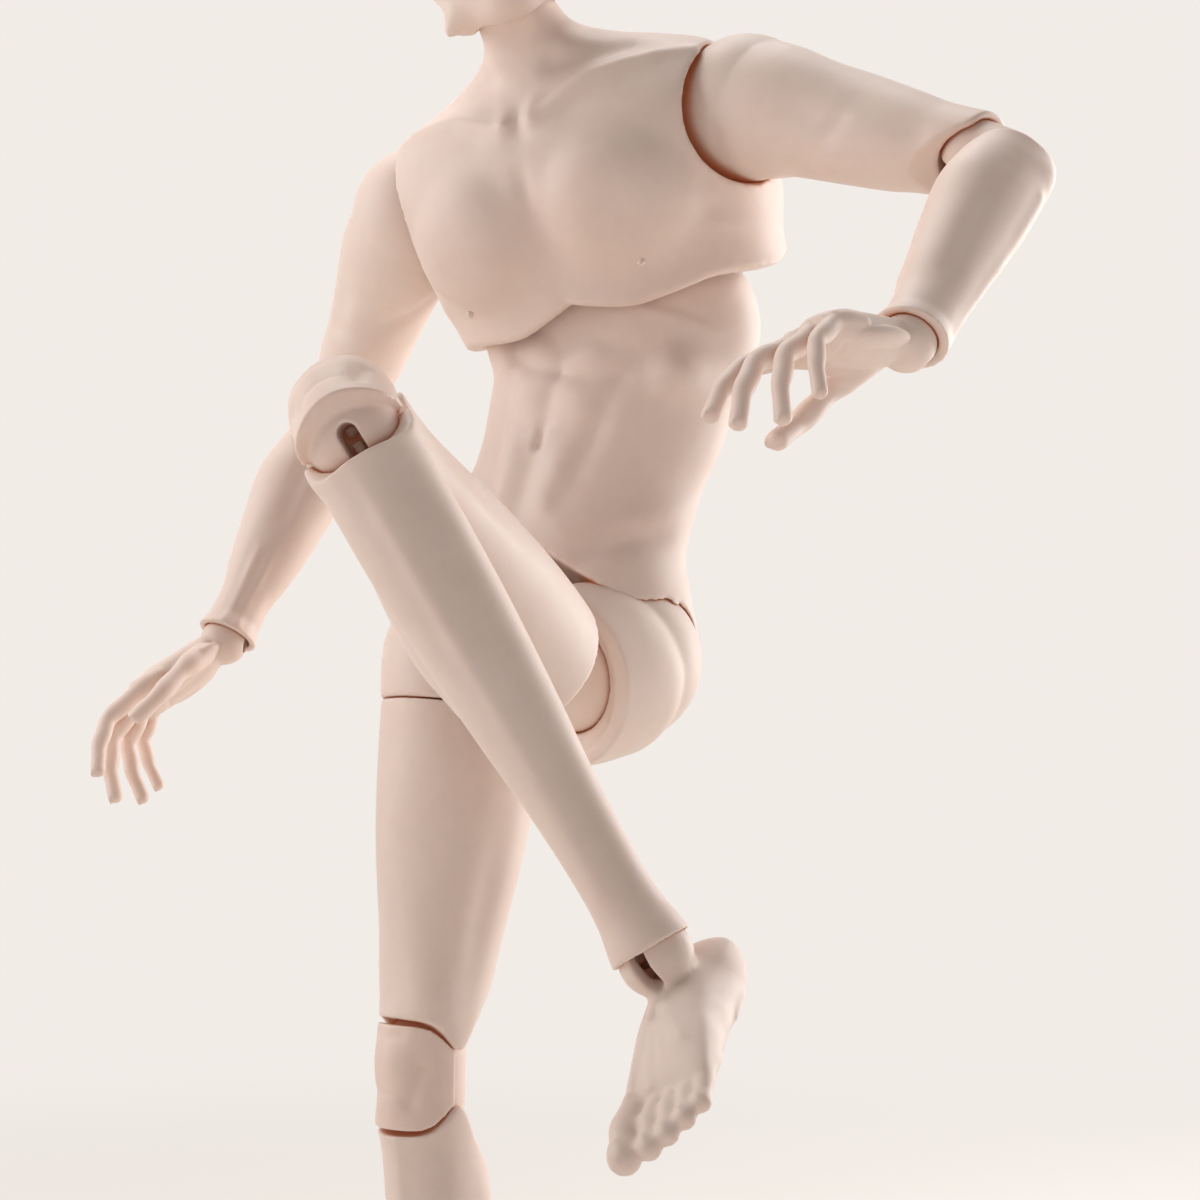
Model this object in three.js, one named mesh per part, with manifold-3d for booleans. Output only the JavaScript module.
// A strung ball jointed doll of cast resin, standing on its right leg with the left knee raised.
// Every casting is modelled in the frame of its own upper joint: the limb runs down -Z, the doll's
// front is -Y and the doll's left is +X. Nested groups then turn each joint into the pose.
// All lengths are in millimetres, all angles in degrees.
import * as THREE from 'three';
import { mergeVertices } from 'three/addons/utils/BufferGeometryUtils.js';
import Module from 'manifold-3d';

const wasm = await Module();
wasm.setup();

// Clearances and stringing
const gap = 0.35;
const cordRadius = 1.9;
const cordEndGap = 3.2;
const bundleRadius = 3.4;
const crossReach = 2;
const boreRadius = 2.6;
const hookBoreRadius = 4.7;
const bundleBoreRadius = 6.3;
const slotWidth = 6.4;
const wireRadius = 1.1;
const barRadius = 1.2;
const eyeRadius = 2.9;
const overrun = 400;

// Lower torso
const hipSpacing = 38;
const waistHeight = 128;
const abdomenWidth = 55;
const crotchDrop = 31;
const domeWidth = 53;
const domeDepth = 41;
const domeMouthWidth = 30;
const navelHeight = 72;
const navelRadius = 2.8;

// Upper torso, measured up from the waist joint
const neckJointHeight = 131;
const neckJointSetback = 3;
const chestWidth = 70;
const chestRimHeight = 4;
const waistClearance = 6;
const shoulderHeight = 64;
const shoulderSpacing = 73;
const shoulderSetback = 6;
const shoulderBallRadius = 27;
const chestHollowWidth = 42;
const chestHollowDepth = 27;
const chestHollowHeight = 30;
const chestHollowMiddle = 52;
const neckRadius = 16;
const nippleRadius = 2.1;
const nippleSpacing = 37;

// Head, measured up from the neck joint
const headWidth = 33;
const headHeight = 96;
const chinDrop = 12;
const headHollowRadius = 25;
const eyeballRadius = 7.6;
const eyeSpacing = 14;
const eyeHeight = 37;
const eyeForward = 25.5;
const noseLength = 15;
const mouthWidth = 9;
const earHeight = 9;
const capSplit = 16;

// Arm
const upperArmLength = 104;
const upperArmWidth = 20;
const elbowBallRadius = 13;
const elbowSpacing = 13;
const forearmLength = 100;
const forearmWidth = 17;
const wristBallRadius = 9.6;
const palmLength = 40;
const palmWidth = 14;
const fingerLength = 44;
const fingerRadius = 3.9;
const thumbRadius = 4.4;

// Leg
const hipDomeRadius = 31;
const hipBallDrop = 22;
const hipBallInset = 1;
const hipBallRadius = 22.5;
const seamDrop = 12;
const thighLength = 145;
const thighWidth = 32.5;
const kneeBallRadius = 15.6;
const kneeSpacing = 18;
const kneeWidth = 19.4;
const kneecapGap = 0.55;
const shinLength = 190;
const shinWidth = 17.5;
const ankleBallRadius = 12.2;
const soleDrop = 28;
const footLength = 98;
const footWidth = 17;
const heelSetback = 27;
const toeRadius = 5;

// Mesh fineness
const bodySides = 20;
const limbSides = 14;
const limbRings = 9;
const ballSides = 20;
const jointSides = 14;
const smallSides = 6;

// Pose of the joints in the photograph
const pose = {
  waist: { tilt: 39.5, lean: -16, turn: 19 },
  neck: { turn: 24, nod: -16 },
  left: {
    shoulder: { swing: -48, raise: -59.5, twist: -62.5 },
    elbow: { upper: -11, lower: -62.5 },
    wrist: { twist: -41, bend: -44.5 },
    hip: { spread: 2, swing: -68.5, tilt: -48, twist: -56.5 },
    knee: { upper: 69.5, lower: 57 },
    ankle: { twist: -25, bend: 21.5 },
  },
  right: {
    shoulder: { swing: 7.5, raise: 48.5, twist: 6 },
    elbow: { upper: -32, lower: -29 },
    wrist: { twist: -13.5, bend: 27.5 },
    hip: { spread: -11, swing: 2, tilt: 0, twist: -12 },
    knee: { upper: 6.5, lower: 6.5 },
    ankle: { twist: -27.5, bend: -4 },
  },
};

const resin = { color: 0xe4cdbe, roughness: 0.52, metalness: 0 };
const elastic = { color: 0xf1ece4, roughness: 0.85, metalness: 0 };
const steel = { color: 0xb9bcc0, roughness: 0.3, metalness: 1 };
const glassEye = { color: 0x5f6f78, roughness: 0.12, metalness: 0 };

const turn = (degrees) => THREE.MathUtils.degToRad(degrees);
const halfTurn = 180;
const fullTurn = halfTurn * 2;

// Solids

function toSolid(geometry) {
  const bare = geometry.clone();
  bare.deleteAttribute('normal');
  bare.deleteAttribute('uv');
  const merged = mergeVertices(bare, gap / 1000);
  const index = merged.index.array;
  const kept = [];
  for (let i = 0; i < index.length; i += 3) {
    const [a, b, c] = [index[i], index[i + 1], index[i + 2]];
    if (a !== b && b !== c && a !== c) kept.push(a, b, c);
  }
  return new wasm.Manifold(new wasm.Mesh({
    numProp: 3,
    vertProperties: new Float32Array(merged.attributes.position.array),
    triVerts: new Uint32Array(kept),
  }));
}

function toGeometry(solid) {
  const mesh = solid.getMesh();
  const geometry = new THREE.BufferGeometry();
  geometry.setAttribute('position', new THREE.BufferAttribute(new Float32Array(mesh.vertProperties), 3));
  geometry.setIndex(new THREE.BufferAttribute(new Uint32Array(mesh.triVerts), 1));
  geometry.computeVertexNormals();
  return geometry;
}

const join = (first, ...others) => others.reduce((sum, solid) => sum.add(solid), first);
const cut = (first, ...others) => others.reduce((rest, solid) => rest.subtract(solid), first);

function mirrored(geometry) {
  const copy = geometry.clone().scale(-1, 1, 1);
  const index = copy.index.array;
  for (let i = 0; i < index.length; i += 3) [index[i], index[i + 1]] = [index[i + 1], index[i]];
  copy.computeVertexNormals();
  return copy;
}

function egg([halfX, halfY, halfZ], [x, y, z], sides = ballSides) {
  const sphere = new THREE.SphereGeometry(1, sides, sides / 2);
  sphere.rotateX(turn(90)).scale(halfX, halfY, halfZ).translate(x, y, z);
  return toSolid(sphere);
}

const ball = (radius, centre, sides = ballSides) => egg([radius, radius, radius], centre, sides);

// The room for a ball: its flat facets, too, stay clear of the ball at every turn.
const roomRadius = (radius, sides = ballSides) => (radius + gap) / Math.cos(Math.PI / sides) ** 2;
const room = (radius, centre, sides = ballSides) => ball(roomRadius(radius, sides), centre, sides);

function rod(radius, start, end, sides = smallSides) {
  const from = new THREE.Vector3(...start);
  const along = new THREE.Vector3(...end).sub(from);
  const cylinder = new THREE.CylinderGeometry(radius, radius, along.length(), sides);
  cylinder.translate(0, along.length() / 2, 0);
  const upright = new THREE.Vector3(0, 1, 0);
  cylinder.applyQuaternion(new THREE.Quaternion().setFromUnitVectors(upright, along.clone().normalize()));
  cylinder.translate(from.x, from.y, from.z);
  return toSolid(cylinder);
}

function block([width, depth, height], [x, y, z]) {
  const box = new THREE.BoxGeometry(width, depth, height);
  box.translate(x, y, z);
  return toSolid(box);
}

// A prism across the limb: the outline is given as [y, z] points seen from the doll's left.
function crossPrism(outline, halfWidth) {
  const shape = new THREE.Shape(outline.map(([y, z]) => new THREE.Vector2(y, z)));
  const prism = new THREE.ExtrudeGeometry(shape, { depth: halfWidth * 2, bevelEnabled: false });
  return prism.rotateX(turn(90)).rotateZ(turn(90)).translate(-halfWidth, 0, 0);
}

const crossBlock = (outline, halfWidth) => toSolid(crossPrism(outline, halfWidth));

// A fan shaped slot for a cord that swings between two directions, both measured from
// straight down towards the back. It lies across X, or across Y when facing sideways.
function cordSlot(radius, [fromAngle, toAngle], { height = 0, sideways = false, width = slotWidth } = {}) {
  const half = width / 2;
  const steps = Math.ceil((toAngle - fromAngle) / fanStep);
  const outline = [];
  const edge = (angle, side) => {
    const [along, across] = [radius * Math.sin(angle), radius * Math.cos(angle)];
    const [shiftAlong, shiftAcross] = [side * half * Math.cos(angle), side * half * Math.sin(angle)];
    return [[shiftAlong, height + shiftAcross], [along + shiftAlong, height - across + shiftAcross]];
  };
  outline.push(...edge(turn(fromAngle), -1));
  for (let i = 1; i < steps; i += 1) {
    const angle = turn(fromAngle + ((toAngle - fromAngle) * i) / steps);
    outline.push([radius * Math.sin(angle), height - radius * Math.cos(angle)]);
  }
  outline.push(...edge(turn(toAngle), 1).reverse());
  const fan = crossPrism(outline, half);
  if (sideways) fan.rotateZ(turn(90));
  return join(toSolid(fan), ball(half, [0, 0, height], pocketSides));
}
const fanStep = 30;
const pocketSides = 8;

// How far each slot opens, in degrees from straight down towards the back or the inner side.
const slotAngles = {
  waist: [162, 232], shoulder: [95, 180], elbow: [-72, 8], wrist: [128, 232],
  hipDome: [150, 210], hipBallTop: [172, 212], hipBallFoot: [-62, 12], knee: [-8, 72], ankle: [135, 232],
};
const fromAbove = ([from, to]) => [halfTurn - to, halfTurn - from];

// A smooth value between the rows of an outline.
function smoothBetween(rows, column, at) {
  const last = rows.length - 1;
  if (at <= rows[0][0]) return rows[0][column];
  if (at >= rows[last][0]) return rows[last][column];
  const i = rows.findIndex((row, n) => n < last && at <= rows[n + 1][0]);
  const slope = (a, b) => (rows[b][column] - rows[a][column]) / (rows[b][0] - rows[a][0]);
  const middle = slope(i, i + 1);
  const blend = (side) => (side * middle <= 0 ? 0
    : Math.sign(middle) * Math.min(Math.abs(side + middle) / 2, 3 * Math.abs(side), 3 * Math.abs(middle)));
  const before = i > 0 ? blend(slope(i - 1, i)) : middle;
  const after = i < last - 1 ? blend(slope(i + 1, i + 2)) : middle;
  const span = rows[i + 1][0] - rows[i][0];
  const t = (at - rows[i][0]) / span;
  const [t2, t3] = [t * t, t * t * t];
  return (2 * t3 - 3 * t2 + 1) * rows[i][column] + (t3 - 2 * t2 + t) * span * before
    + (3 * t2 - 2 * t3) * rows[i + 1][column] + (t3 - t2) * span * after;
}

// Triangles that close a stack of rings into a body, with a fan at each end.
function ringIndex(rings, sides) {
  const index = [];
  for (let r = 0; r < rings; r += 1) {
    for (let s = 0; s < sides; s += 1) {
      const [a, b] = [r * sides + s, r * sides + ((s + 1) % sides)];
      index.push(a, a + sides, b, b, a + sides, b + sides);
    }
  }
  const top = (rings + 1) * sides;
  for (let s = 0; s < sides; s += 1) {
    const next = (s + 1) % sides;
    index.push(top, s, next, top + 1, rings * sides + next, rings * sides + s);
  }
  return index;
}

function closedRings(position, rings, sides) {
  const geometry = new THREE.BufferGeometry();
  geometry.setAttribute('position', new THREE.Float32BufferAttribute(position, 3));
  geometry.setIndex(ringIndex(rings, sides));
  return geometry;
}

// A closed body lofted down -Z through rings. Each row of the outline holds shares: how far
// along, then the reach to the front, back, outer and inner side, and the shift to the front.
// Each muscle is a soft swelling: how far along, angle from the front towards the outer side,
// height, reach along and reach around. The rim outline lifts the lower edge by angle.
function loft({ length, width, rowShares, muscleShares = [], rimShares = [[0, 0], [180, 0]],
  squareness = 2, rings = limbRings, sides = limbSides }) {
  const first = rowShares[0][0];
  const last = rowShares[rowShares.length - 1][0];
  const position = [];
  for (let r = 0; r <= rings; r += 1) {
    const at = first + ((last - first) * r) / rings;
    const reaches = [1, 2, 3, 4, 5].map((column) => smoothBetween(rowShares, column, at));
    const [front, back, outer, inner, forward] = reaches;
    for (let s = 0; s < sides; s += 1) {
      const angle = (s / sides) * Math.PI * 2;
      const fromFront = THREE.MathUtils.radToDeg(angle);
      const [across, ahead] = [Math.sin(angle), Math.cos(angle)];
      const reachAhead = ahead > 0 ? front : back;
      const reachAcross = across > 0 ? outer : inner;
      let reach = (Math.abs(ahead / reachAhead) ** squareness + Math.abs(across / reachAcross) ** squareness)
        ** (-1 / squareness);
      for (const [middle, side, height, tall, wide] of muscleShares) {
        const around = THREE.MathUtils.euclideanModulo(fromFront - side + halfTurn, fullTurn) - halfTurn;
        reach += height * Math.exp(-(((at - middle) / tall) ** 2) - (around / wide) ** 2);
      }
      const rimSide = Math.min(fromFront, fullTurn - fromFront);
      const lift = smoothBetween(rimShares, 1, rimSide) * (at / last) ** rimFade;
      position.push(width * reach * across, -width * (reach * ahead + forward), length * (lift - at));
    }
  }
  position.push(0, -width * smoothBetween(rowShares, 5, first), -length * first);
  position.push(0, -width * smoothBetween(rowShares, 5, last), -length * last);
  return closedRings(position, rings, sides);
}
const rimFade = 5;

// A finger or toe: a tube of changing radius through points, with rounded ends.
function digit(points, radii, sides = smallSides) {
  const stops = points.map((point) => new THREE.Vector3(...point));
  const path = new THREE.CatmullRomCurve3(stops, false, 'centripetal');
  const rings = points.length - 1;
  const position = [];
  const side = new THREE.Vector3(1, 0, 0);
  for (let i = 0; i <= rings; i += 1) {
    const t = i / rings;
    const centre = path.getPoint(t);
    const tangent = path.getTangent(t);
    side.addScaledVector(tangent, -side.dot(tangent)).normalize();
    const over = new THREE.Vector3().crossVectors(side, tangent);
    const place = t * (radii.length - 1);
    const n = Math.min(Math.floor(place), radii.length - 2);
    const radius = THREE.MathUtils.lerp(radii[n], radii[n + 1], place - n);
    for (let s = 0; s < sides; s += 1) {
      const angle = (s / sides) * Math.PI * 2;
      const point = centre.clone().addScaledVector(side, radius * Math.cos(angle));
      point.addScaledVector(over, radius * Math.sin(angle));
      position.push(point.x, point.y, point.z);
    }
  }
  for (const end of [0, 1]) {
    const tipReach = (end ? radii[radii.length - 1] : -radii[0]) * tipShare;
    const tip = path.getPoint(end).addScaledVector(path.getTangent(end), tipReach);
    position.push(tip.x, tip.y, tip.z);
  }
  return toSolid(closedRings(position, rings, sides));
}
const tipShare = 0.65;

function piece(name, shape, finish) {
  const geometry = shape.isBufferGeometry ? shape : toGeometry(shape);
  const mesh = new THREE.Mesh(geometry, new THREE.MeshStandardMaterial(finish));
  mesh.name = name;
  return mesh;
}

function joint(name, parent, [x, y, z], [tiltX, tiltY, tiltZ] = [0, 0, 0]) {
  const group = new THREE.Group();
  group.name = name;
  group.position.set(x, y, z);
  group.rotation.set(turn(tiltX), turn(tiltY), turn(tiltZ));
  parent.add(group);
  return group;
}

// Lower torso: abdomen and pelvis in one casting, hollow down to the hips

const lowerTorsoRowShares = [
  [0.00, 0.73, 0.73, 0.96, 0.96, 0],
  [0.10, 0.66, 0.68, 0.91, 0.91, 0],
  [0.24, 0.66, 0.64, 0.89, 0.89, 0],
  [0.38, 0.65, 0.59, 0.84, 0.84, 0],
  [0.50, 0.65, 0.59, 0.85, 0.85, 0],
  [0.62, 0.66, 0.68, 0.99, 0.99, 0],
  [0.74, 0.63, 0.81, 1.13, 1.13, 0],
  [0.86, 0.54, 0.88, 1.15, 1.15, 0],
  [0.95, 0.42, 0.80, 1.00, 1.00, 0],
  [1.00, 0.33, 0.67, 0.78, 0.78, 0],
];
const abdomenMuscleShares = [
  [0.17, 20, 0.05, 0.06, 14], [0.17, -20, 0.05, 0.06, 14],
  [0.31, 20, 0.05, 0.06, 14], [0.31, -20, 0.05, 0.06, 14],
  [0.48, 18, 0.04, 0.10, 16], [0.48, -18, 0.04, 0.10, 16],
  [0.20, 0, -0.03, 0.25, 7], [0.62, 62, 0.06, 0.07, 26], [0.62, -62, 0.06, 0.07, 26],
];
const torsoHollowRowShares = [
  [0.02, 0.54, 0.54, 0.76, 0.76, 0],
  [0.24, 0.54, 0.50, 0.70, 0.70, 0],
  [0.40, 0.50, 0.42, 0.60, 0.60, 0],
  [0.56, 0.48, 0.42, 0.60, 0.60, 0],
];
// Seen from the side, the leg opening slopes up at the front so that the raised thigh clears it.
const groinShares = [
  [-3.4, 0.86], [-1.2, 0.84], [-0.6, 0.72], [0.4, 0.15], [1.1, 0.15], [3.4, -0.5], [3.4, -3.4], [-3.4, -3.4],
];
const groinLean = 13;
const crotchShares = { half: 0.16, reach: 1.5 };
const boreEndShares = { across: 0.45, up: 0.5 };
const navelShares = { forward: 0.67, deep: 1.1, tall: 1.25 };

function lowerTorso() {
  const length = waistHeight + crotchDrop;
  const lifted = (geometry) => toSolid(geometry.translate(0, 0, waistHeight));
  const skin = lifted(loft({
    length, width: abdomenWidth, rowShares: lowerTorsoRowShares, muscleShares: abdomenMuscleShares,
    squareness: 2.25, rings: 13, sides: bodySides,
  }));
  const dome = egg([domeWidth, domeDepth, domeDepth], [0, 0, waistHeight], bodySides);
  const hollow = lifted(loft({ length, width: abdomenWidth, rowShares: torsoHollowRowShares, rings: 5 }));
  const mouth = cordSlot(domeDepth * 2, slotAngles.waist, { height: waistHeight, width: domeMouthWidth });
  let body = cut(join(skin, dome), hollow, mouth);
  const groinOutline = groinShares.map(([y, z]) => [hipDomeRadius * y, hipDomeRadius * z]);
  for (const side of [1, -1]) {
    const hip = side * hipSpacing;
    const boreEnd = [hip * boreEndShares.across, 0, waistHeight * boreEndShares.up];
    const inner = hipSpacing * (1 - crotchShares.half);
    const groin = crossPrism(groinOutline, hipSpacing * crotchShares.reach);
    groin.translate(side * (hipSpacing * crotchShares.reach - inner), 0, 0);
    groin.rotateY(turn(side * groinLean)).translate(hip, 0, 0);
    body = cut(body, room(hipDomeRadius, [hip, 0, 0]), toSolid(groin));
    body = cut(body, rod(bundleBoreRadius, [hip, 0, 0], boreEnd));
  }
  const navelSize = [navelRadius, navelRadius * navelShares.deep, navelRadius * navelShares.tall];
  return cut(body, egg(navelSize, [0, -abdomenWidth * navelShares.forward, navelHeight], smallSides));
}

// Upper torso: chest and neck in one casting

const chestRowShares = [
  [0.000, 0.19, 0.19, 0.19, 0.19, -0.04],
  [0.060, 0.20, 0.21, 0.21, 0.21, -0.05],
  [0.135, 0.24, 0.27, 0.26, 0.26, -0.06],
  [0.200, 0.28, 0.34, 0.44, 0.44, -0.07],
  [0.250, 0.34, 0.42, 0.70, 0.70, -0.06],
  [0.310, 0.43, 0.54, 0.94, 0.94, -0.04],
  [0.430, 0.58, 0.66, 1.05, 1.05, 0],
  [0.560, 0.68, 0.70, 1.04, 1.04, 0],
  [0.700, 0.72, 0.71, 1.00, 1.00, 0],
  [0.850, 0.71, 0.71, 0.97, 0.97, 0],
  [1.000, 0.70, 0.70, 0.94, 0.94, 0],
];
const chestMuscleShares = [
  [0.64, 36, 0.12, 0.16, 22], [0.64, -36, 0.12, 0.16, 22],
  [0.79, 32, 0.07, 0.07, 22], [0.79, -32, 0.07, 0.07, 22],
  [0.60, 0, -0.06, 0.22, 9], [0.33, 42, 0.04, 0.04, 24], [0.33, -42, 0.04, 0.04, 24],
  [0.50, 150, 0.06, 0.16, 20], [0.50, -150, 0.06, 0.16, 20], [0.55, 180, -0.05, 0.30, 10],
];
// The lower rim arches over the belly, dips under each breast muscle and drops at the flanks.
const chestRimShares = [[0, 0.16], [12, 0.13], [34, 0.09], [58, 0.09], [90, 0.02], [180, 0]];
const chestMouthShares = { across: 0.55, ahead: 0.9, up: 0.1 };
const nippleShares = { forward: 0.74, up: 0.252 };

function upperTorso() {
  const skin = loft({
    length: neckJointHeight - chestRimHeight, width: chestWidth, rowShares: chestRowShares,
    muscleShares: chestMuscleShares, rimShares: chestRimShares, squareness: 2.3, rings: 13, sides: bodySides,
  }).translate(0, 0, neckJointHeight);
  const neckJoint = [0, neckJointSetback, neckJointHeight];
  const roomy = domeDepth + waistClearance;
  const cavity = egg([domeWidth + waistClearance, roomy, roomy], [0, 0, 0], bodySides);
  const hollowSize = [chestHollowWidth, chestHollowDepth, chestHollowHeight];
  const hollow = egg(hollowSize, [0, 0, chestHollowMiddle], limbSides);
  const throatEnd = [0, neckJointSetback, neckJointHeight + neckRadius * 2];
  const throat = rod(bundleBoreRadius, [0, 0, chestHollowMiddle], throatEnd);
  let body = cut(join(toSolid(skin), ball(neckRadius, neckJoint, jointSides)), cavity, hollow, throat);
  for (const side of [1, -1]) {
    const centre = [side * shoulderSpacing, shoulderSetback, shoulderHeight];
    const { across, ahead, up } = chestMouthShares;
    const away = [centre[0] * 2, centre[1], centre[2]];
    const [frontAhead, frontUp] = [shoulderSpacing * ahead, shoulderSpacing * up];
    const front = [centre[0] * (1 + across), centre[1] - frontAhead, centre[2] + frontUp];
    const mouth = roomRadius(shoulderBallRadius);
    const openings = [front, away].map((end) => rod(mouth, centre, end, ballSides));
    body = cut(body, room(shoulderBallRadius, centre), ...openings);
    body = cut(body, rod(bundleBoreRadius, [0, shoulderSetback, shoulderHeight], centre));
    const nipple = [side * nippleSpacing, -chestWidth * nippleShares.forward, neckJointHeight * nippleShares.up];
    body = join(body, ball(nippleRadius, nipple, smallSides));
  }
  return body;
}

// Head: face plate and skull cap around a hollow, and two eyeballs

const headRowShares = [
  [0.00, 0.20, 0.30, 0.26, 0.26, -0.12],
  [0.04, 0.56, 0.72, 0.58, 0.58, -0.12],
  [0.14, 0.88, 1.06, 0.86, 0.86, -0.10],
  [0.30, 1.06, 1.24, 1.00, 1.00, -0.06],
  [0.45, 1.04, 1.26, 1.02, 1.02, 0],
  [0.52, 0.98, 1.20, 0.99, 0.99, 0],
  [0.60, 1.02, 1.08, 0.96, 0.96, 0],
  [0.74, 1.00, 0.80, 0.86, 0.86, 0.02],
  [0.86, 0.96, 0.50, 0.70, 0.70, 0.06],
  [0.95, 0.86, 0.34, 0.46, 0.46, 0.12],
  [1.00, 0.50, 0.26, 0.26, 0.26, 0.24],
];
const faceShares = [
  [0.43, 20, 0.04, 0.03, 18], [0.43, -20, 0.04, 0.03, 18], [0.93, 0, 0.05, 0.05, 16],
  [0.60, 50, 0.03, 0.08, 18], [0.60, -50, 0.03, 0.08, 18],
];
const noseShares = { bridge: 0.95, tip: 1.16, bridgeThick: 0.17, tipThick: 0.27, drop: 1.0 };
const lipShares = { forward: 1.0, drop: 1.72, part: 0.19, thick: 0.28 };
const earShares = { thick: 0.26, wide: 0.62, back: 0.55, drop: 0.5 };
const headHollowShares = { deep: 1.12, tall: 1.15 };
const neckFlareShare = 2;
const neckFlareDropShare = 0.9;

const eyePlace = (side) => [side * eyeSpacing, -eyeForward, eyeHeight];

function headParts() {
  const skin = toSolid(loft({
    length: headHeight, width: headWidth, rowShares: headRowShares, muscleShares: faceShares,
    squareness: 2.1, rings: 12, sides: bodySides,
  }).translate(0, 0, headHeight - chinDrop));
  const noseTip = [0, -headWidth * noseShares.tip, eyeHeight - noseLength];
  const nose = digit([[0, -headWidth * noseShares.bridge, eyeHeight], noseTip],
    [noseLength * noseShares.bridgeThick, noseLength * noseShares.tipThick]);
  const lips = [1, -1].map((edge) => {
    const height = eyeHeight - noseLength * lipShares.drop + edge * mouthWidth * lipShares.part;
    const thick = mouthWidth * lipShares.thick;
    return egg([mouthWidth, thick * 2, thick], [0, -headWidth * lipShares.forward, height], smallSides);
  });
  const ears = [1, -1].map((side) => egg(
    [earHeight * earShares.thick, earHeight * earShares.wide, earHeight],
    [side * headWidth, earHeight * earShares.back, eyeHeight - earHeight * earShares.drop], smallSides,
  ));
  const { deep, tall } = headHollowShares;
  const hollowSize = [headHollowRadius, headHollowRadius * deep, headHollowRadius * tall];
  const hollow = egg(hollowSize, [0, neckJointSetback, eyeHeight + neckJointSetback], limbSides);
  const socket = room(neckRadius, [0, 0, 0], jointSides);
  const flare = new THREE.CylinderGeometry(neckRadius, neckRadius * neckFlareShare, neckRadius, jointSides);
  const opening = toSolid(flare.rotateX(turn(90)).translate(0, 0, -neckRadius * neckFlareDropShare));
  const shaft = rod(bundleBoreRadius, [0, 0, 0], [0, 0, eyeHeight]);
  const eyeHoles = [1, -1].map((side) => room(eyeballRadius, eyePlace(side), jointSides));
  const whole = cut(join(skin, nose, ...lips, ...ears), hollow, socket, opening, shaft, ...eyeHoles);
  const behind = (offset) => crossBlock([
    [capSplit + offset, -headHeight], [headHeight * 2, -headHeight], [headHeight * 2, headHeight * 2],
    [offset - capSplit, headHeight * 2],
  ], headHeight);
  return { face: cut(whole, behind(0)), cap: whole.intersect(behind(gap)) };
}

// Arm

const upperArmRowShares = [
  [0.00, 1.32, 1.32, 1.30, 1.28, 0],
  [0.16, 1.28, 1.26, 1.28, 1.12, 0],
  [0.34, 1.10, 1.10, 1.12, 0.96, 0],
  [0.52, 1.02, 1.04, 0.98, 0.90, 0],
  [0.70, 0.94, 0.96, 0.88, 0.86, 0],
  [0.86, 0.80, 0.84, 0.80, 0.80, 0],
  [1.08, 0.80, 0.80, 0.80, 0.80, 0],
];
const upperArmMuscleShares = [
  [0.55, 0, 0.08, 0.16, 30], [0.48, 170, 0.08, 0.16, 34],
  [0.30, 88, 0.04, 0.12, 30], [0.42, 42, -0.05, 0.10, 14],
];
// Seen from the side, the upper arm ends square in front and slopes up behind the joint's fold.
const elbowRimShares = [[2, -0.10], [0.30, -0.10], [-0.10, -0.05], [-1.3, 1.45], [-2, 2.5]];
const scaled = (shares, size) => shares.map(([y, z]) => [y * size, z * size]);
const upsideDown = (outline) => outline.map(([y, z]) => [y, -z]).reverse();
const sideOf = (outline, level, height) => {
  const closed = [...outline, [outline[outline.length - 1][0], level], [outline[0][0], level]];
  return toSolid(crossPrism(closed, overrun).translate(0, 0, height));
};
const below = (outline, height = 0) => sideOf(outline, -overrun, height);
const above = (outline, height = 0) => sideOf(outline, overrun, height);

function upperArm() {
  const skin = toSolid(loft({
    length: upperArmLength, width: upperArmWidth,
    rowShares: upperArmRowShares, muscleShares: upperArmMuscleShares,
  }));
  const bore = rod(boreRadius, [0, 0, 0], [0, 0, -upperArmLength]);
  const cordRoom = cordSlot(shoulderBallRadius * 2, slotAngles.shoulder, { sideways: true });
  const elbow = below(scaled(elbowRimShares, elbowBallRadius), -upperArmLength);
  return cut(join(ball(shoulderBallRadius, [0, 0, 0]), cut(skin, elbow)), bore, cordRoom,
    room(elbowBallRadius, [0, 0, -upperArmLength], jointSides), elbowFoldRoom(-upperArmLength, -1));
}

// The room for the far ball of the elbow piece when the elbow is folded.
function elbowFoldRoom(height, side) {
  const [ahead, along] = [elbowSpacing * Math.sin(turn(foldLimit)), elbowSpacing * Math.cos(turn(foldLimit))];
  return room(elbowBallRadius, [0, -ahead, height + side * along], jointSides);
}
const foldLimit = 64;

// Two balls in one casting, slotted where the cord comes out at each end.
function doubleBall(radius, spacing, open) {
  const ends = [0, -spacing].map((height) => [0, 0, height]);
  const body = join(...ends.map((end) => ball(radius, end, jointSides)), rod(radius, ...ends, jointSides));
  const upperSlot = cordSlot(radius * 2, fromAbove(open));
  const lowerSlot = cordSlot(radius * 2, open, { height: -spacing });
  return { body, slots: [upperSlot, lowerSlot, rod(boreRadius, [0, 0, 0], [0, 0, -spacing])] };
}

function elbowPiece() {
  const { body, slots } = doubleBall(elbowBallRadius, elbowSpacing, slotAngles.elbow);
  return cut(body, ...slots);
}

const forearmRowShares = [
  [-0.08, 0.92, 0.92, 0.92, 0.92, 0],
  [0.00, 0.92, 0.98, 0.92, 0.92, 0],
  [0.10, 0.98, 1.06, 1.02, 0.98, 0],
  [0.26, 1.04, 1.06, 1.12, 1.04, 0],
  [0.46, 0.96, 0.94, 1.00, 0.96, 0],
  [0.66, 0.80, 0.80, 0.80, 0.80, 0],
  [0.82, 0.68, 0.72, 0.62, 0.62, 0],
  [0.92, 0.72, 0.74, 0.66, 0.66, 0],
  [0.975, 0.78, 0.78, 0.74, 0.74, 0],
];
const forearmMuscleShares = [
  [0.24, 70, 0.08, 0.14, 34], [0.22, -60, 0.06, 0.12, 30], [0.04, 180, 0.08, 0.07, 26],
];

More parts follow.
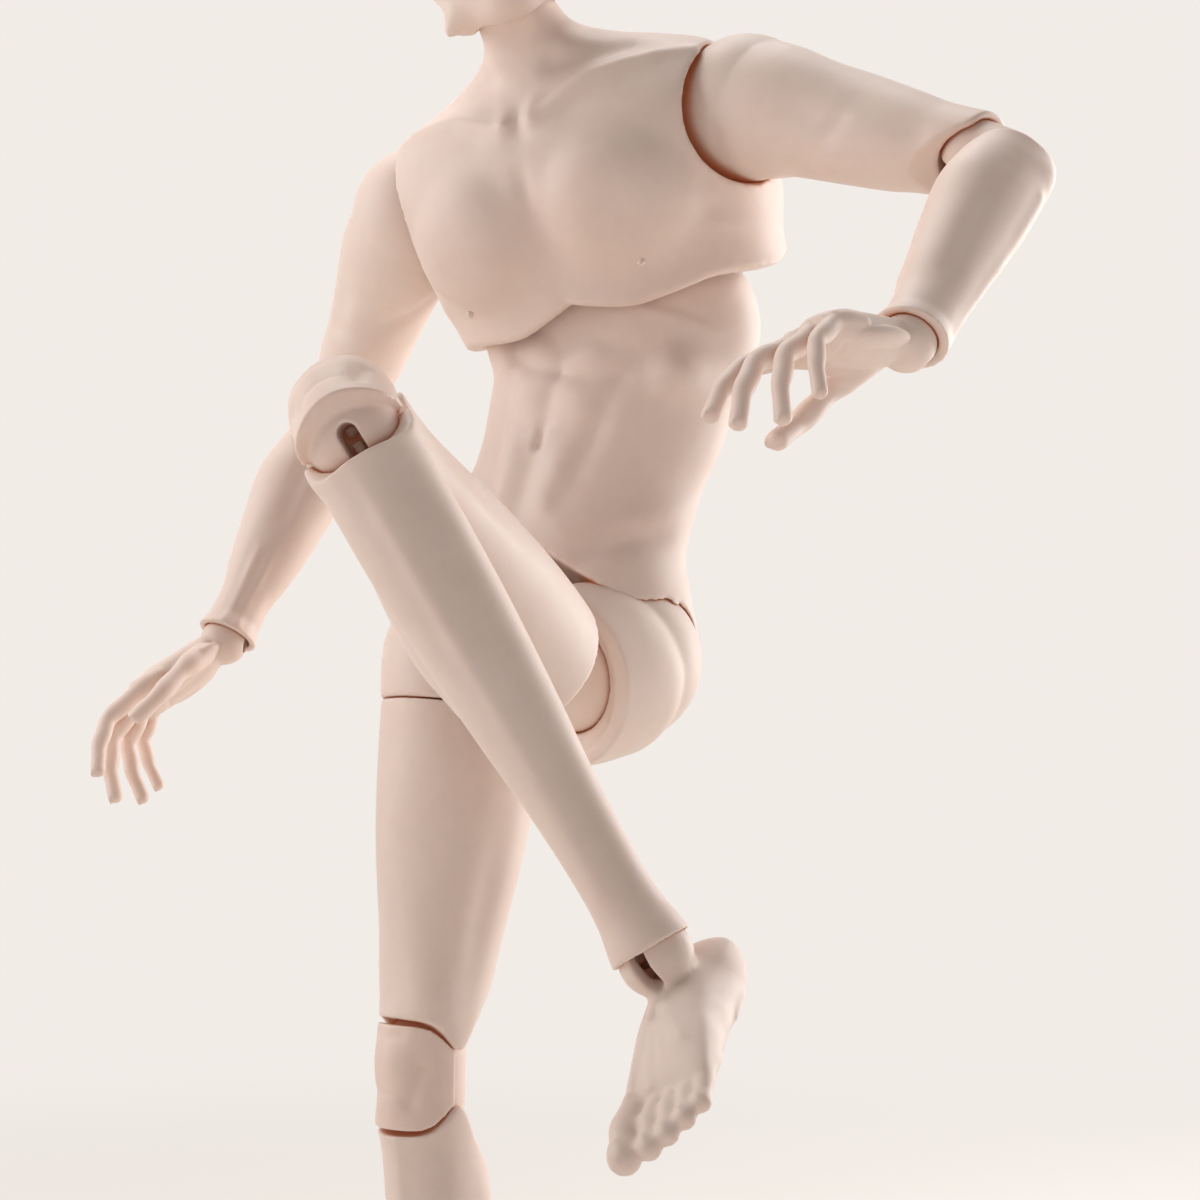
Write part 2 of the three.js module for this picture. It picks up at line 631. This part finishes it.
function forearm() {
  const skin = toSolid(loft({
    length: forearmLength, width: forearmWidth,
    rowShares: forearmRowShares, muscleShares: forearmMuscleShares,
  }));
  const elbow = above(upsideDown(scaled(elbowRimShares, elbowBallRadius)));
  const bores = [rod(boreRadius, [0, 0, 0], [0, 0, -forearmLength]), hookBore(forearmLength, wristBallRadius)];
  return cut(skin, elbow, ...bores, room(elbowBallRadius, [0, 0, 0], jointSides), elbowFoldRoom(0, 1),
    room(wristBallRadius, [0, 0, -forearmLength], jointSides));
}

// The wider end of a bore, where the hook's upper eye meets the cord.
const hookEnd = eyeRadius + wireRadius * 2;
function hookBore(length, ballRadius) {
  return rod(hookBoreRadius, [0, 0, -length], [0, 0, ballRadius * 2 + hookEnd - length]);
}

const eyePocket = () => block([hookEnd * 2, hookEnd * 2, hookEnd * 2], [0, 0, 0]);

// Hand: the palm faces inwards and the thumb is at the front

const palmRowShares = [
  [0.14, 0.56, 0.56, 0.46, 0.46, 0],
  [0.34, 0.74, 0.72, 0.48, 0.60, 0],
  [0.60, 0.92, 0.90, 0.48, 0.58, 0],
  [0.90, 1.02, 0.98, 0.44, 0.48, 0],
  [1.06, 0.98, 0.88, 0.36, 0.36, 0],
];
// Each finger: place across the knuckles, knuckle height, length, size, spread and bends.
const fingerShares = [
  { place: -0.78, knuckle: 1.00, long: 0.91, size: 1.00, spread: -7, bends: [10, 28, 14] },
  { place: -0.27, knuckle: 1.04, long: 1.00, size: 1.03, spread: 0, bends: [20, 30, 14] },
  { place: 0.27, knuckle: 1.00, long: 0.94, size: 0.97, spread: 5, bends: [30, 32, 12] },
  { place: 0.78, knuckle: 0.92, long: 0.78, size: 0.86, spread: 12, bends: [34, 32, 10] },
];
const phalanxShares = [0.44, 0.31, 0.25];
const phalanxTaperShare = 0.12;
const fingerRootShare = 0.25;
// The left thumb reaches under the palm, and the right one lies along it.
const thumbShares = {
  left: [[-0.20, -0.60, -0.28], [-0.70, -1.05, -0.60], [-1.40, -1.25, -0.95], [-1.90, -1.12, -1.25]],
  right: [[-0.20, -0.60, -0.28], [-0.45, -1.10, -0.60], [-0.75, -1.38, -0.92], [-0.85, -1.34, -1.20]],
};
const thumbSizeShares = [1.05, 1.15, 0.92, 0.8];

function finger({ place, knuckle, long, size, spread, bends }) {
  const radius = fingerRadius * size;
  const tip = new THREE.Vector3(0, palmWidth * place, -palmLength * knuckle);
  const points = [[0, tip.y, tip.z + palmLength * fingerRootShare], tip.toArray()];
  const radii = [radius, radius];
  let bend = 0;
  phalanxShares.forEach((phalanx, n) => {
    bend += bends[n];
    const down = Math.cos(turn(bend));
    const direction = new THREE.Vector3(-Math.sin(turn(bend)), Math.sin(turn(spread)) * down, -down);
    tip.addScaledVector(direction, fingerLength * long * phalanx);
    points.push(tip.toArray());
    radii.push(radius * (1 - phalanxTaperShare * (n + 1)));
  });
  return digit(points, radii);
}

function hand(side) {
  const palm = toSolid(loft({
    length: palmLength, width: palmWidth, rowShares: palmRowShares, squareness: 2.4, rings: 4, sides: 12,
  }));
  const thumbPoints = thumbShares[side].map(([x, y, z]) => [palmWidth * x, palmWidth * y, palmLength * z]);
  const thumb = digit(thumbPoints, thumbSizeShares.map((size) => thumbRadius * size));
  const body = join(ball(wristBallRadius, [0, 0, 0], jointSides), palm, ...fingerShares.map(finger), thumb);
  const slot = cordSlot(wristBallRadius * 2, slotAngles.wrist, { sideways: true });
  const barRoom = wristBallRadius - barRadius;
  return cut(body, slot, eyePocket(), rod(barRadius + gap, [0, -barRoom, 0], [0, barRoom, 0]));
}

// Leg

const hipRowShares = [
  [0.00, 0.40, 0.72, 0.62, 0.40, -0.05],
  [0.16, 0.68, 0.96, 0.90, 0.62, -0.03],
  [0.40, 0.88, 1.06, 1.01, 0.78, 0],
  [0.75, 0.96, 1.07, 1.02, 0.85, 0],
  [1.00, 0.97, 1.05, 1.00, 0.88, 0],
];

function hipShell() {
  const drop = hipBallDrop + seamDrop;
  const collar = loft({
    length: drop, width: thighWidth, rowShares: hipRowShares, rings: 5, sides: bodySides,
  }).translate(-hipBallInset, 0, 0);
  const under = block([overrun, overrun, overrun], [0, 0, -drop - overrun / 2]);
  const bore = rod(bundleBoreRadius, [0, 0, 0], [-hipBallInset, 0, -hipBallDrop]);
  const slot = cordSlot(hipDomeRadius * 2, slotAngles.hipDome, { sideways: true });
  return cut(join(toSolid(collar), ball(hipDomeRadius, [0, 0, 0])), under, bore, slot,
    room(hipBallRadius, [-hipBallInset, 0, -hipBallDrop]));
}

function hipBall() {
  const top = cordSlot(hipBallRadius * 2, slotAngles.hipBallTop);
  return cut(ball(hipBallRadius, [0, 0, 0]), cordSlot(hipBallRadius * 2, slotAngles.hipBallFoot), top);
}

const thighRowShares = [
  [0.000, 0.97, 1.05, 1.00, 0.88, 0],
  [0.083, 0.97, 1.05, 1.00, 0.88, 0],
  [0.250, 0.93, 1.02, 0.97, 0.92, 0],
  [0.450, 0.85, 0.93, 0.86, 0.87, 0],
  [0.650, 0.73, 0.82, 0.73, 0.74, 0],
  [0.820, 0.62, 0.74, 0.62, 0.63, 0],
  [0.930, 0.59, 0.70, 0.60, 0.61, 0],
  [1.000, 0.58, 0.65, 0.60, 0.60, 0],
  [1.120, 0.57, 0.57, 0.57, 0.57, 0],
];
const thighMuscleShares = [
  [0.85, -48, 0.08, 0.08, 24], [0.80, 46, 0.05, 0.08, 22],
  [0.50, 62, 0.04, 0.18, 30], [0.38, 0, 0.04, 0.18, 26],
  [0.60, -92, -0.05, 0.22, 16], [0.62, 100, -0.04, 0.20, 16], [0.45, 180, 0.03, 0.20, 40],
];
// Seen from the side, the thigh's lower edge arches over the kneecap, drops to the middle of
// the leg and slopes up behind, so that the knee can fold.
const kneeRimShares = [
  [-2, 0.56], [-0.62, 0.56], [-0.25, 0.30], [0, 0.08], [0.14, 0.06], [0.58, 0.84], [2, 2.7],
];

function thigh() {
  const skin = toSolid(loft({
    length: thighLength, width: thighWidth, rowShares: thighRowShares, muscleShares: thighMuscleShares,
    rings: 11,
  }));
  const over = block([overrun, overrun, overrun], [0, 0, overrun / 2 - seamDrop - gap]);
  const knee = below(scaled(kneeRimShares, kneeWidth), -thighLength);
  return cut(skin, over, knee, room(hipBallRadius, [0, 0, 0]),
    rod(boreRadius, [0, 0, 0], [0, 0, -thighLength]),
    room(kneeBallRadius, [0, 0, -thighLength], jointSides));
}

const kneecapRowShares = [
  [0.00, 0.94, 0.70, 0.96, 0.96, 0],
  [0.22, 1.00, 0.80, 0.99, 0.99, 0],
  [0.50, 1.03, 0.80, 0.98, 0.98, 0],
  [0.78, 0.98, 0.80, 0.98, 0.98, 0],
  [1.00, 0.95, 0.80, 0.98, 0.98, 0],
];
const kneecapMuscleShares = [
  [0.36, 0, 0.08, 0.20, 26], [0.72, 0, 0.05, 0.09, 16],
  [0.56, 30, -0.03, 0.12, 14], [0.56, -30, -0.03, 0.12, 14],
];
const kneecapTallShare = 0.65;
const kneecapBackShare = 0.02;

function kneePiece() {
  const { body, slots } = doubleBall(kneeBallRadius, kneeSpacing, slotAngles.knee);
  const overlap = kneeWidth * kneecapTallShare;
  const skin = toSolid(loft({
    length: kneeSpacing + overlap * 2, width: kneeWidth, rowShares: kneecapRowShares,
    muscleShares: kneecapMuscleShares, rings: 6,
  }).translate(0, 0, overlap));
  const rim = scaled(kneeRimShares, kneeWidth);
  const upper = above(rim, -kneecapGap);
  const lower = below(upsideDown(rim), kneecapGap - kneeSpacing);
  const rear = block([overrun, overrun, overrun], [0, overrun / 2 + kneeWidth * kneecapBackShare, 0]);
  return cut(join(body, cut(skin, upper, lower, rear)), ...slots);
}

const shinRowShares = [
  [-0.10, 1.02, 1.02, 1.06, 1.06, 0],
  [0.00, 1.10, 1.18, 1.10, 1.08, 0],
  [0.08, 1.02, 1.28, 1.06, 1.06, 0],
  [0.22, 0.98, 1.38, 1.04, 1.08, 0],
  [0.38, 0.92, 1.24, 0.98, 1.00, 0],
  [0.55, 0.80, 0.96, 0.84, 0.85, 0],
  [0.72, 0.68, 0.74, 0.68, 0.68, 0],
  [0.86, 0.64, 0.66, 0.61, 0.61, 0],
  [0.92, 0.67, 0.71, 0.65, 0.65, 0],
  [0.985, 0.80, 0.82, 0.78, 0.78, 0],
];
const shinMuscleShares = [
  [0.24, 150, 0.10, 0.13, 26], [0.26, -145, 0.13, 0.13, 26], [0.30, -12, 0.05, 0.30, 10],
  [0.26, 60, 0.05, 0.16, 26], [0.03, 0, 0.04, 0.03, 18],
];

function shin() {
  const skin = toSolid(loft({
    length: shinLength, width: shinWidth, rowShares: shinRowShares,
    muscleShares: shinMuscleShares, rings: 12,
  }));
  const knee = above(upsideDown(scaled(kneeRimShares, kneeWidth)));
  const bores = [rod(boreRadius, [0, 0, 0], [0, 0, -shinLength]), hookBore(shinLength, ankleBallRadius)];
  return cut(skin, knee, room(kneeBallRadius, [0, 0, 0], jointSides), ...bores,
    room(ankleBallRadius, [0, 0, -shinLength], jointSides));
}

// Foot: lofted from the heel to the roots of the toes, lying along -Y above a flat sole

const footRowShares = [
  [0.00, 0.16, 0.50, 0.40, 0.40, 0.50],
  [0.04, 0.40, 0.80, 0.62, 0.62, 0.40],
  [0.14, 0.52, 0.90, 0.74, 0.74, 0.32],
  [0.30, 0.84, 0.86, 0.76, 0.72, 0.26],
  [0.46, 0.78, 0.76, 0.80, 0.72, 0.16],
  [0.62, 0.56, 0.64, 0.90, 0.86, 0.04],
  [0.74, 0.42, 0.56, 0.94, 0.98, -0.06],
  [0.82, 0.32, 0.46, 0.88, 0.96, -0.16],
];
const ankleRowShares = [
  [0.00, 0.60, 0.66, 0.56, 0.56, 0],
  [0.35, 0.68, 0.82, 0.60, 0.60, 0],
  [1.00, 0.98, 1.04, 0.70, 0.70, 0.06],
];
// Each toe: place across the foot, reach forwards and size, from the big toe outwards.
const toeShares = [
  { place: -0.64, reach: 1.00, size: 1.18 }, { place: -0.16, reach: 0.99, size: 0.88 },
  { place: 0.20, reach: 0.96, size: 0.82 }, { place: 0.52, reach: 0.92, size: 0.78 },
  { place: 0.80, reach: 0.87, size: 0.74 },
];
const toeLineShares = [[0.70, 1.5, 0.9], [0.82, 1.7, 1], [0.91, 1.5, 0.95], [0.965, 0.95, 0.85]];
const soleLiftShare = 0.5;
const ankleSinkShare = 0.62;

function foot() {
  const body = loft({
    length: footLength, width: footWidth, rowShares: footRowShares, squareness: 2.3, rings: 8,
  }).rotateX(turn(-90)).translate(0, heelSetback, footWidth * soleLiftShare - soleDrop);
  const sunk = ankleBallRadius * ankleSinkShare;
  const neck = loft({
    length: soleDrop - sunk, width: footWidth, rowShares: ankleRowShares, rings: 3,
  }).translate(0, 0, -sunk);
  const toes = toeShares.map(({ place, reach, size }) => {
    const radius = toeRadius * size;
    const ahead = (along) => footLength * along * reach - heelSetback;
    const line = ([along, lift]) => [footWidth * place, -ahead(along), radius * lift - soleDrop];
    return digit(toeLineShares.map(line), toeLineShares.map(([, , round]) => radius * round));
  });
  const floor = block([overrun, overrun, overrun], [0, 0, -soleDrop - overrun / 2]);
  const barRoom = ankleBallRadius - barRadius;
  const whole = join(ball(ankleBallRadius, [0, 0, 0], jointSides), toSolid(neck), toSolid(body), ...toes);
  return cut(whole, floor, cordSlot(ankleBallRadius * 2, slotAngles.ankle), eyePocket(),
    rod(barRadius + gap, [-barRoom, 0, 0], [barRoom, 0, 0]));
}

// A wire hook: an eye round the cross bar at the joint, a shank, and an eye for the cord.
function hook(reach, acrossX) {
  const ring = (height, turned) => {
    const torus = new THREE.TorusGeometry(eyeRadius, wireRadius, 5, 8);
    torus.rotateX(turn(90));
    if (turned) torus.rotateZ(turn(90));
    return toSolid(torus.translate(0, 0, height));
  };
  const shank = rod(wireRadius, [0, 0, eyeRadius], [0, 0, reach - eyeRadius]);
  return join(ring(0, acrossX), shank, ring(reach, false));
}

// Assembly

const doll = new THREE.Group();
const pelvis = joint('pelvis', doll, [0, 0, 0]);
pelvis.add(piece('lower_torso', lowerTorso(), resin));

const legRunShares = { from: 0.26, to: 0.946 };
const soleMiddleShare = 0.45;
const crossing = bundleRadius * 2;
const waistTilt = joint('waist_tilt', pelvis, [0, 0, waistHeight], [pose.waist.tilt, 0, 0]);
waistTilt.add(piece('waist_cord', ball(crossing, [0, 0, 0], jointSides), elastic));
const waistLean = joint('waist_lean', waistTilt, [0, 0, 0], [0, pose.waist.lean, 0]);
const hookDrop = (neckJointHeight - chestHollowMiddle) / 2;
const bundle = rod(bundleRadius, [0, 0, crossing + gap], [0, 0, neckJointHeight - hookDrop - gap]);
waistLean.add(piece('torso_cord', bundle, elastic));
const chest = joint('waist_turn', waistLean, [0, 0, 0], [0, 0, pose.waist.turn]);
chest.add(piece('upper_torso', upperTorso(), resin));
const shoulderReach = shoulderSpacing - shoulderBallRadius - gap;
const armCord = [-1, 1].map((side) => [side * shoulderReach, shoulderSetback, shoulderHeight]);
chest.add(piece('arm_cord', rod(cordRadius, ...armCord), elastic));

const neckTurn = joint('neck_turn', chest, [0, neckJointSetback, neckJointHeight], [0, 0, pose.neck.turn]);
const hookTop = neckRadius + gap;
const hookWing = bundleBoreRadius + wireRadius * 2;
const hookShank = rod(wireRadius, [0, 0, -hookDrop], [0, 0, hookTop]);
const neckHook = join(hookShank, rod(wireRadius, [-hookWing, 0, hookTop], [hookWing, 0, hookTop]));
neckTurn.add(piece('neck_hook', neckHook, steel));
const head = joint('neck_nod', neckTurn, [0, 0, 0], [pose.neck.nod, 0, 0]);
const { face, cap } = headParts();
head.add(piece('head_face', face, resin), piece('head_cap', cap, resin));

const castings = {
  upper_arm: upperArm(), elbow: elbowPiece(), forearm: forearm(), hip_shell: hipShell(), hip_ball: hipBall(),
  thigh: thigh(), knee: kneePiece(), shin: shin(), foot: foot(),
};

for (const [name, side] of [['left', 1], ['right', -1]]) {
  const limb = pose[name];
  const cast = (part, parent, shape = castings[part]) => {
    const geometry = toGeometry(shape);
    parent.add(piece(`${name}_${part}`, side > 0 ? geometry : mirrored(geometry), resin));
  };
  const cord = (part, parent, from, to) => {
    parent.add(piece(`${name}_${part}_cord`, rod(cordRadius, from, to), elastic));
  };
  const bar = (part, parent, across) => {
    const [from, to] = [-1, 1].map((end) => across.map((reach) => end * reach));
    parent.add(piece(`${name}_${part}_bar`, rod(barRadius, from, to), steel));
  };
  head.add(piece(`${name}_eye`, ball(eyeballRadius, eyePlace(side), jointSides), glassEye));

  // Arm
  const shoulder = [side * shoulderSpacing, shoulderSetback, shoulderHeight];
  const swing = joint(`${name}_shoulder_swing`, chest, shoulder, [limb.shoulder.swing, 0, 0]);
  cord('shoulder', swing, [-crossReach, 0, 0], [crossReach, 0, 0]);
  const raise = joint(`${name}_shoulder_raise`, swing, [0, 0, 0], [0, limb.shoulder.raise, 0]);
  cord('upper_arm', raise, [0, 0, -cordEndGap], [0, 0, cordEndGap - upperArmLength]);
  const arm = joint(`${name}_upper_arm_twist`, raise, [0, 0, 0], [0, 0, limb.shoulder.twist]);
  cast('upper_arm', arm);
  const elbowUpper = joint(`${name}_elbow_upper`, arm, [0, 0, -upperArmLength], [limb.elbow.upper, 0, 0]);
  cast('elbow', elbowUpper);
  cord('elbow', elbowUpper, [0, 0, -cordEndGap], [0, 0, cordEndGap - elbowSpacing]);
  const elbowDrop = [0, 0, -elbowSpacing];
  const elbowLower = joint(`${name}_elbow_lower`, elbowUpper, elbowDrop, [limb.elbow.lower, 0, 0]);
  cast('forearm', elbowLower);
  const wristReach = wristBallRadius * 2;
  cord('forearm', elbowLower, [0, 0, -cordEndGap], [0, 0, wristReach + hookEnd - forearmLength]);
  const wristDrop = [0, 0, -forearmLength];
  const wristTwist = joint(`${name}_wrist_twist`, elbowLower, wristDrop, [0, 0, limb.wrist.twist]);
  wristTwist.add(piece(`${name}_wrist_hook`, hook(wristReach, false), steel));
  const wristBend = joint(`${name}_wrist_bend`, wristTwist, [0, 0, 0], [0, limb.wrist.bend, 0]);
  cast('hand', wristBend, hand(name));
  bar('wrist', wristBend, [0, wristBallRadius - barRadius - gap, 0]);

  // Leg
  const hipJoint = [side * hipSpacing, 0, 0];
  const legRun = new THREE.Vector3(0, 0, waistHeight).sub(new THREE.Vector3(...hipJoint));
  const runAt = (share) => new THREE.Vector3(...hipJoint).addScaledVector(legRun, share).toArray();
  cord('leg', pelvis, runAt(legRunShares.from), runAt(legRunShares.to));
  const spread = joint(`${name}_hip_spread`, pelvis, hipJoint, [0, limb.hip.spread, 0]);
  cord('hip', spread, [0, 0, -crossReach], [0, 0, crossReach]);
  const hip = joint(`${name}_hip_swing`, spread, [0, 0, 0], [limb.hip.swing, 0, 0]);
  cast('hip_shell', hip);
  const ballCentre = [-side * hipBallInset, 0, -hipBallDrop];
  const ballTurn = joint(`${name}_hip_ball_turn`, hip, ballCentre, [limb.hip.tilt / 2, 0, 0]);
  cast('hip_ball', ballTurn);
  const rimFront = thighWidth * hipRowShares[hipRowShares.length - 1][1] + gap / 2;
  const rim = [ballCentre[0], -rimFront, ballCentre[2] - seamDrop];
  const tilt = joint(`${name}_thigh_tilt`, hip, rim, [limb.hip.tilt, 0, 0]);
  const cordTop = seamDrop - hipBallRadius - cordRadius;
  cord('thigh', tilt, [0, rimFront, cordTop], [0, rimFront, seamDrop + cordEndGap - thighLength]);
  const thighTwist = joint(`${name}_thigh_twist`, tilt, [0, rimFront, seamDrop], [0, 0, limb.hip.twist]);
  cast('thigh', thighTwist);
  const kneeUpper = joint(`${name}_knee_upper`, thighTwist, [0, 0, -thighLength], [limb.knee.upper, 0, 0]);
  cast('knee', kneeUpper);
  cord('knee', kneeUpper, [0, 0, -cordEndGap], [0, 0, cordEndGap - kneeSpacing]);
  const kneeLower = joint(`${name}_knee_lower`, kneeUpper, [0, 0, -kneeSpacing], [limb.knee.lower, 0, 0]);
  cast('shin', kneeLower);
  const ankleReach = ankleBallRadius * 2;
  cord('shin', kneeLower, [0, 0, -cordEndGap], [0, 0, ankleReach + hookEnd - shinLength]);
  const ankleTwist = joint(`${name}_ankle_twist`, kneeLower, [0, 0, -shinLength], [0, 0, limb.ankle.twist]);
  ankleTwist.add(piece(`${name}_ankle_hook`, hook(ankleReach, true), steel));
  const ankleBend = joint(`${name}_ankle_bend`, ankleTwist, [0, 0, 0], [limb.ankle.bend, 0, 0]);
  cast('foot', ankleBend);
  bar('ankle', ankleBend, [ankleBallRadius - barRadius - gap, 0, 0]);
}

// The doll is set down with the flat sole of its right foot on the ground at the origin, and
// turned so that its pelvis faces the front.
doll.updateMatrixWorld(true);
const sole = new THREE.Matrix4().makeTranslation(0, heelSetback - footLength * soleMiddleShare, -soleDrop);
const standing = doll.getObjectByName('right_ankle_bend').matrixWorld.clone().multiply(sole).invert();
const ahead = new THREE.Vector3(0, -1, 0).transformDirection(standing);
const facing = new THREE.Matrix4().makeRotationZ(Math.atan2(-ahead.x, -ahead.y));
pelvis.applyMatrix4(facing.multiply(standing));

export default doll;
